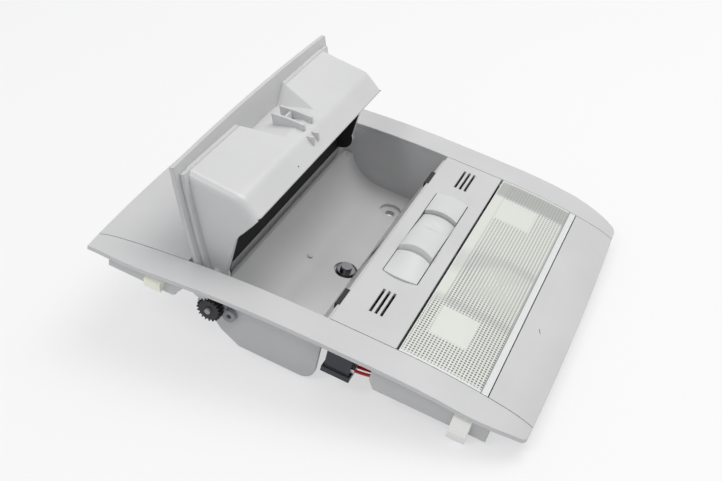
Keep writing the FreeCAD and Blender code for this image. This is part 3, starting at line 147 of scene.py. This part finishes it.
class Recipe:
    """The node tree of a material or a world, with short ways to add and join nodes."""

    def __init__(self, owner, output):
        owner.use_nodes = True
        self.owner = owner
        self.tree = owner.node_tree
        self.tree.nodes.clear()
        self.out = self.add(output)

    def add(self, kind, inputs=None, **settings):
        node = self.tree.nodes.new(kind)
        for key, amount in settings.items():
            setattr(node, key, amount)
        for key, amount in (inputs or {}).items():
            self.feed(node.inputs[key], amount)
        return node

    def feed(self, socket, amount):
        """Join a socket to another node's output, or set it to a number, vector or colour."""
        if isinstance(amount, bpy.types.NodeSocket):
            self.tree.links.new(amount, socket)
        elif socket.type == "RGBA":
            socket.default_value = (*amount, 1.0)
        else:
            socket.default_value = amount

    def surface(self, shader):
        self.feed(self.out.inputs["Surface"], shader.outputs[0])
        return self.owner

    def part_place(self):
        """The shaded point in the part's own frame."""
        coordinates = self.add("ShaderNodeTexCoord")
        inputs = {
            "Vector": coordinates.outputs["Object"],
            "Location": SHIFT,
            "Rotation": (0.0, TILT, 0.0),
        }
        return self.add("ShaderNodeMapping", inputs, vector_type="TEXTURE").outputs["Vector"]

    def face_xy(self, place):
        split = self.add("ShaderNodeSeparateXYZ", {"Vector": place})
        return split.outputs["X"], split.outputs["Y"]

    def noise(self, place, scale, detail):
        inputs = {"Vector": place, "Scale": scale, "Detail": detail}
        return self.add("ShaderNodeTexNoise", inputs).outputs["Fac"]

    def math(self, operation, *amounts):
        return self.add("ShaderNodeMath", dict(enumerate(amounts)), operation=operation).outputs[0]

    def times(self, first, second):
        return self.math("MULTIPLY", first, second)

    def less(self, amount):
        """What is left of 1."""
        return self.math("SUBTRACT", 1.0, amount)

    def gap(self, amount, middle):
        return self.math("ABSOLUTE", self.math("SUBTRACT", amount, middle))

    def reach(self, x, y, area):
        """1 on the edge of an oblong area, and less inside it."""
        middle_x, middle_y, half_x, half_y = area
        share_x = self.math("DIVIDE", self.gap(x, middle_x), half_x)
        share_y = self.math("DIVIDE", self.gap(y, middle_y), half_y)
        return self.math("MAXIMUM", share_x, share_y)

    def ramp(self, amount, start, end):
        """0 at the start, 1 at the end and a straight run between them."""
        inputs = {"Value": amount, "From Min": start, "From Max": end}
        return self.add("ShaderNodeMapRange", inputs).outputs["Result"]

    def blend(self, cover, below, above):
        inputs = {MIX_FACTOR: cover, MIX_BELOW: below, MIX_ABOVE: above}
        return self.add("ShaderNodeMix", inputs, data_type="RGBA").outputs[MIX_RESULT]

    def bump(self, height, strength, depth, normal=None):
        inputs = {"Height": height, "Strength": strength, "Distance": depth}
        if normal is not None:
            inputs["Normal"] = normal
        return self.add("ShaderNodeBump", inputs).outputs["Normal"]

    def principled(self, inputs):
        return self.add("ShaderNodeBsdfPrincipled", inputs)

    def mix(self, share, first, second):
        return self.add("ShaderNodeMixShader", {0: share, 1: first.outputs[0], 2: second.outputs[0]})

    def seen(self):
        """1 for rays of the camera, reflections and glass, which see the pale background."""
        rays = self.add("ShaderNodeLightPath").outputs
        direct = self.math("MAXIMUM", rays["Is Camera Ray"], rays["Is Glossy Ray"])
        return self.math("MAXIMUM", direct, rays["Is Transmission Ray"])


def material_recipe(name):
    return Recipe(bpy.data.materials.new(name), "ShaderNodeOutputMaterial")


def plastic(
    name, colour, roughness, grain=0.04, edge=0.0005, blotch=0.03, specular=0.4, stain=None, hollow=None
):
    """Moulded plastic, with a stain on it or a hollow in it where one is given."""
    recipe = material_recipe(name)
    place = recipe.part_place()
    lighter = tuple(min(1.0, level * (1.0 + blotch)) for level in colour)
    darker = tuple(level * (1.0 - blotch) for level in colour)
    cloud = recipe.noise(place, CLOUD_SCALE, CLOUD_DETAIL)
    tint = recipe.blend(recipe.ramp(cloud, *CLOUD_RANGE), darker, lighter)
    if stain:
        cover, stain_tint = stain(recipe, place)
        tint = recipe.blend(cover, tint, stain_tint)
    normal = None
    if edge:
        normal = recipe.add("ShaderNodeBevel", {"Radius": edge}, samples=BEVEL_SAMPLES).outputs["Normal"]
    normal = recipe.bump(recipe.noise(place, GRAIN_SCALE, GRAIN_DETAIL), grain, GRAIN_DEPTH, normal)
    if hollow:
        normal = recipe.bump(hollow(recipe, place), DISH_STRENGTH, DISH_DEPTH, normal)
    inputs = {
        "Base Color": tint,
        "Roughness": roughness,
        "Specular IOR Level": specular,
        "Normal": normal,
    }
    return recipe.surface(recipe.principled(inputs))


def nick(recipe, place):
    """Cover and colour of the short scratch on the front panel."""
    run = NICK_END - NICK_START
    middle = (NICK_START + NICK_END) / 2.0
    unit = run.normalized()
    x, y = recipe.face_xy(place)
    from_x = recipe.math("SUBTRACT", x, middle.x)
    from_y = recipe.math("SUBTRACT", y, middle.y)
    down = recipe.math("ADD", recipe.times(from_x, unit.x), recipe.times(from_y, unit.y))
    side = recipe.math("SUBTRACT", recipe.times(from_x, unit.y), recipe.times(from_y, unit.x))
    beside = recipe.ramp(recipe.math("ABSOLUTE", side), NICK_HALF_WIDTH, NICK_HALF_WIDTH * 0.5)
    within = recipe.ramp(recipe.math("ABSOLUTE", down), run.length * 0.5, run.length * 0.35)
    return recipe.times(beside, within), NICK_TINT


def speck(recipe, place):
    """Cover and colour of the speck of dirt on the bin's front."""
    reach = recipe.add("ShaderNodeVectorMath", {0: place, 1: SPECK_SPOT}, operation="DISTANCE")
    return recipe.ramp(reach.outputs["Value"], SPECK_RADIUS, SPECK_RADIUS * 0.6), SPECK_TINT


def dish(recipe, place):
    """Height of the shallow finger dish in the rocker's top."""
    x, y = recipe.face_xy(place)
    share_x = recipe.math("DIVIDE", recipe.math("SUBTRACT", x, DISH_MIDDLE[0]), DISH_HALF[0])
    share_y = recipe.math("DIVIDE", recipe.math("SUBTRACT", y, DISH_MIDDLE[1]), DISH_HALF[1])
    reach = recipe.math("ADD", recipe.math("POWER", share_x, 2.0), recipe.math("POWER", share_y, 2.0))
    return recipe.ramp(reach, *DISH_FADE)


def metal(name, colour, roughness):
    recipe = material_recipe(name)
    grain = recipe.noise(recipe.part_place(), METAL_SCALE, METAL_DETAIL)
    gloss = recipe.math("MULTIPLY_ADD", grain, METAL_SPREAD, roughness - METAL_SPREAD / 2.0)
    return recipe.surface(recipe.principled({"Metallic": 1.0, "Base Color": colour, "Roughness": gloss}))


def bulb_glass():
    recipe = material_recipe("bulb_glass")
    grain = recipe.noise(recipe.part_place(), BULB_SCALE, BULB_DETAIL)
    gloss = recipe.math("MULTIPLY_ADD", grain, BULB_SPREAD, BULB_ROUGHNESS)
    inputs = {"Base Color": (0.8, 0.82, 0.8), "Transmission Weight": 0.6, "Roughness": gloss}
    return recipe.surface(recipe.principled(inputs))


def lens_facets(recipe, x, y, rim):
    """Cover of the prism facets, painted dark as shade, which leave out the rim, two windows and a
    smooth edge and are painted paler in the bright middle.
    """
    times, less = recipe.times, recipe.less
    step_x = recipe.math("PINGPONG", x, PRISM_PITCH / 2.0)
    step_y = recipe.math("PINGPONG", y, PRISM_PITCH / 2.0)
    facets = recipe.ramp(times(step_x, step_y), *FACET_FADE)
    windows = recipe.math("MINIMUM", recipe.reach(x, y, NEAR_WINDOW), recipe.reach(x, y, FAR_WINDOW))
    facets = times(facets, recipe.ramp(windows, *WINDOW_FADE))
    # Painted light: the facets paler in the bright middle of the lens
    glow = recipe.ramp(recipe.reach(x, y, GLOW_AREA), *GLOW_FADE)
    facets = times(facets, less(times(glow, GLOW_COVER)))
    ripple = recipe.math("PINGPONG", recipe.reach(x, y, RIPPLE_AREA), PRISM_PITCH / 2.0)
    ripple = recipe.ramp(ripple, *RIPPLE_FADE)
    facets = recipe.math("MAXIMUM", facets, times(times(ripple, glow), RIPPLE_COVER))
    facets = times(facets, less(rim))
    smooth_edge = times(recipe.ramp(x, *SMOOTH_FADE_X), recipe.ramp(y, *SMOOTH_FADE_Y))
    facets = times(facets, less(smooth_edge))
    return times(facets, less(times(recipe.ramp(y, *PALER_FADE_Y), PALER_COVER)))


def lens_bands(recipe, x, y):
    """Cover of the two grey bands of painted shade, where the walls between the three lamps show
    through.
    """
    near_band = recipe.ramp(recipe.gap(y, NEAR_BAND_Y), *NEAR_BAND_FADE)
    lean = recipe.ramp(x, *FAR_BAND_RUN)
    middle = recipe.math("MULTIPLY_ADD", lean, FAR_BAND_LEAN, FAR_BAND_Y)
    half = recipe.math("MULTIPLY_ADD", lean, FAR_BAND_WIDENING, FAR_BAND_HALF)
    far_band = recipe.ramp(recipe.math("DIVIDE", recipe.gap(y, middle), half), *FAR_BAND_FADE)
    return recipe.times(recipe.math("MAXIMUM", near_band, far_band), BAND_COVER)


def lens_clear():
    """Clear plastic mixed with a milky layer that carries the pattern of the lens, painted with the
    light and shade seen through it.
    """
    recipe = material_recipe("lens_clear")
    x, y = recipe.face_xy(recipe.part_place())
    rim = recipe.ramp(recipe.reach(x, y, RIM_AREA), *RIM_FADE)
    facets = lens_facets(recipe, x, y, rim)
    far_end = recipe.times(recipe.ramp(y, *FAR_END_FADE_Y), FAR_END_COVER)
    groove = recipe.ramp(recipe.gap(x, GROOVE_X), *GROOVE_FADE)
    # Painted shade: the prism facets darkened on the clear lens
    tint = recipe.blend(facets, LENS_TINT, FACET_SHADE)
    # Painted shade: grey bands where the walls between the lamps show through
    tint = recipe.blend(lens_bands(recipe, x, y), tint, BAND_SHADE)
    tint = recipe.blend(far_end, tint, FAR_END_TINT)
    # Painted highlight: the lens rim lighter
    tint = recipe.blend(rim, tint, RIM_HIGHLIGHT)
    tint = recipe.blend(groove, tint, GROOVE_TINT)
    normal = recipe.bump(facets, FACET_STRENGTH, FACET_DEPTH)
    clear_inputs = {
        "Base Color": CLEAR_TINT,
        "Roughness": 0.12,
        "IOR": 1.49,
        "Transmission Weight": 1.0,
        "Normal": normal,
    }
    clear = recipe.principled(clear_inputs)
    milk = recipe.principled({"Base Color": tint, "Roughness": 0.3, "Normal": normal})
    return recipe.surface(recipe.mix(MILK_SHARE, clear, milk))


# Plastics: colour, roughness and what else differs
SHELL_GREY, SHELL_ROUGHNESS = (0.54, 0.542, 0.549), 0.42
PLASTICS = {
    "shell_plastic": (SHELL_GREY, SHELL_ROUGHNESS, {}),
    "shell_nicked": (SHELL_GREY, SHELL_ROUGHNESS, {"stain": nick}),
    "bin_plastic": ((0.575, 0.578, 0.583), 0.27, {"edge": 0.0008, "specular": 0.5, "stain": speck}),
    "button_plastic": ((0.59, 0.60, 0.605), 0.36, {"edge": 0.0006}),
    "rocker_plastic": ((0.60, 0.61, 0.615), 0.34, {"edge": 0.0006, "hollow": dish}),
    "black_plastic": ((0.018, 0.018, 0.02), 0.4, {"edge": 0.0002}),
    "black_rubber": ((0.02, 0.02, 0.021), 0.7, {}),
    "liner_black": ((0.012, 0.012, 0.013), 0.75, {"edge": 0.0}),
    "damper_grey": ((0.3, 0.31, 0.33), 0.4, {"edge": 0.0003}),
    "connector_black": ((0.03, 0.033, 0.04), 0.35, {"edge": 0.0003}),
    "wire_red": ((0.55, 0.01, 0.02), 0.3, {"edge": 0.0}),
    "nylon": ((0.87, 0.87, 0.76), 0.35, {"edge": 0.0003, "blotch": 0.02}),
    "nylon_clear": ((0.93, 0.93, 0.91), 0.25, {"edge": 0.0003, "blotch": 0.02}),
    "housing_plastic": ((0.4, 0.405, 0.41), 0.5, {}),
    "reflector_white": ((0.86, 0.86, 0.85), 0.25, {"grain": 0.01}),
}
# Metals: colour and roughness
METALS = {
    "steel": ((0.62, 0.62, 0.61), 0.3),
    "dark_steel": ((0.26, 0.26, 0.27), 0.2),
    "washer_steel": ((0.12, 0.12, 0.125), 0.16),
}
# Nodes whose look isn't that of their slot
NODE_LOOKS = {
    "front_panel": "shell_nicked",
    "dome_rocker": "rocker_plastic",
    "screw_washer": "washer_steel",
    "clip_near_front": "nylon_clear",
    "clip_far_front": "nylon_clear",
}
looks = {"lens_clear": lens_clear(), "bulb_glass": bulb_glass()}
for name, (colour, roughness, more) in PLASTICS.items():
    looks[name] = plastic(name, colour, roughness, **more)
for name, (colour, roughness) in METALS.items():
    looks[name] = metal(name, colour, roughness)
for entry in frame["record"]["subparts"]:
    item = nodes[entry["node"]]
    item.data.materials.clear()
    item.data.materials.append(looks[NODE_LOOKS.get(entry["node"], entry["material_slot"])])


def arch_rise(x, radius):
    """Height of an arch over the button's width, at x from its middle."""
    return math.sqrt(radius**2 - x**2) - math.sqrt(radius**2 - BUTTON_HALF**2)


def button_points(inner, outer):
    """Two grids of points, the arched top and then the flat foot, from the inner to the outer end."""
    turn = Matrix.Rotation(TILT, 3, "Y")
    points = []
    for level in ("top", "foot"):
        for row in range(BUTTON_ROWS + 1):
            share = row / BUTTON_ROWS
            for column in range(BUTTON_COLUMNS + 1):
                x = BUTTON_HALF * (2.0 * column / BUTTON_COLUMNS - 1.0)
                end = outer + math.copysign(arch_rise(x, BUTTON_BOW), outer - inner)
                arch = (1.0 - share) * arch_rise(x, INNER_ARCH) + share * arch_rise(x, OUTER_ARCH)
                z = BUTTON_SIDE_Z + arch if level == "top" else BUTTON_FOOT_Z
                spot = Vector((BUTTON_X + x, inner + share * (end - inner), z))
                points.append(turn @ spot + SHIFT)
    return points


def button_faces():
    """Faces of the two grids, and of the wall between their outlines."""
    wide = BUTTON_COLUMNS + 1
    foot = wide * (BUTTON_ROWS + 1)
    faces = []
    for row in range(BUTTON_ROWS):
        for column in range(BUTTON_COLUMNS):
            first = row * wide + column
            quad = (first, first + 1, first + wide + 1, first + wide)
            faces.append(quad)
            faces.append(tuple(foot + corner for corner in reversed(quad)))
    outline = list(range(wide))
    outline += [row * wide + BUTTON_COLUMNS for row in range(1, BUTTON_ROWS + 1)]
    outline += [BUTTON_ROWS * wide + column for column in range(BUTTON_COLUMNS - 1, -1, -1)]
    outline += [row * wide for row in range(BUTTON_ROWS - 1, 0, -1)]
    for first, second in zip(outline, outline[1:] + outline[:1]):
        faces.append((second, first, first + foot, second + foot))
    return faces


def map_button(node, body, inner, outer):
    mesh = bpy.data.meshes.new(node + "_cap")
    mesh.from_pydata(button_points(inner, outer), [], button_faces())
    shaped = bmesh.new()
    shaped.from_mesh(mesh)
    bmesh.ops.recalc_face_normals(shaped, faces=shaped.faces)
    shaped.to_mesh(mesh)
    shaped.free()
    mesh.shade_smooth()
    mesh.set_sharp_from_angle(angle=SHARP_ANGLE)
    mesh.materials.append(looks["button_plastic"])
    piece = bpy.data.objects.new(node + "_cap", mesh)
    bpy.context.collection.objects.link(piece)
    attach(piece, body)
    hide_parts(node)


map_button("map_button_near", "near_button", inner=-0.01615, outer=-0.0349)
map_button("map_button_far", "far_button", inner=0.02515, outer=0.0439)


def floor_white():
    """White paper that keeps the shadow and is bright where it is seen."""
    recipe = material_recipe("floor_white")
    paper_inputs = {"Base Color": (0.9, 0.9, 0.9), "Roughness": 0.35, "Specular IOR Level": 0.25}
    paper = recipe.principled(paper_inputs)
    bright = recipe.add("ShaderNodeEmission", {"Color": PALE, "Strength": 1.0})
    return recipe.surface(recipe.mix(recipe.times(recipe.seen(), FLOOR_GLOW), paper, bright))


def studio_world():
    """Soft light from all sides, with a pale background where it is seen."""
    recipe = Recipe(bpy.data.worlds.new("studio"), "ShaderNodeOutputWorld")
    sky = recipe.add("ShaderNodeBackground", {"Color": SKY_TINT, "Strength": SKY_STRENGTH})
    backdrop = recipe.add("ShaderNodeBackground", {"Color": PALE, "Strength": 1.0})
    return recipe.surface(recipe.mix(recipe.seen(), sky, backdrop))


def area_light(name, place, side, power, colour=(1.0, 1.0, 1.0)):
    """A square lamp that faces the middle of the table."""
    data = bpy.data.lights.new(name, "AREA")
    data.shape = "SQUARE"
    data.size = side
    data.energy = power
    data.color = colour
    lamp = bpy.data.objects.new(name, data)
    lamp.location = place
    lamp.rotation_euler = (-Vector(place)).to_track_quat("-Z", "Y").to_euler()
    bpy.context.collection.objects.link(lamp)


# Floor, light and the photograph's camera
bpy.ops.mesh.primitive_plane_add(size=FLOOR_SIZE, location=(0.0, 0.0, 0.0))
floor = bpy.context.object
floor.name = "floor"
floor.data.materials.append(floor_white())

area_light("key", (0.35, 0.4, 1.25), side=1.0, power=11.0, colour=(1.0, 0.98, 0.95))
area_light("fill", (-0.3, -0.7, 1.0), side=0.28, power=2.5)

camera_data = bpy.data.cameras.new("camera")
camera_data.sensor_width = SENSOR_WIDTH
camera_data.lens = SENSOR_WIDTH * FOCAL_PIXELS / PHOTO_WIDTH_PIXELS
camera_data.clip_start = CLIP_START
camera = bpy.data.objects.new("camera", camera_data)
camera.location = SHIFT + CAMERA_FROM_ORIGIN
camera.rotation_euler = (math.pi / 2.0 - CAMERA_DOWN, 0.0, CAMERA_TURN)
bpy.context.collection.objects.link(camera)

scene = bpy.context.scene
scene.camera = camera
scene.world = studio_world()
scene.view_settings.view_transform = "Standard"
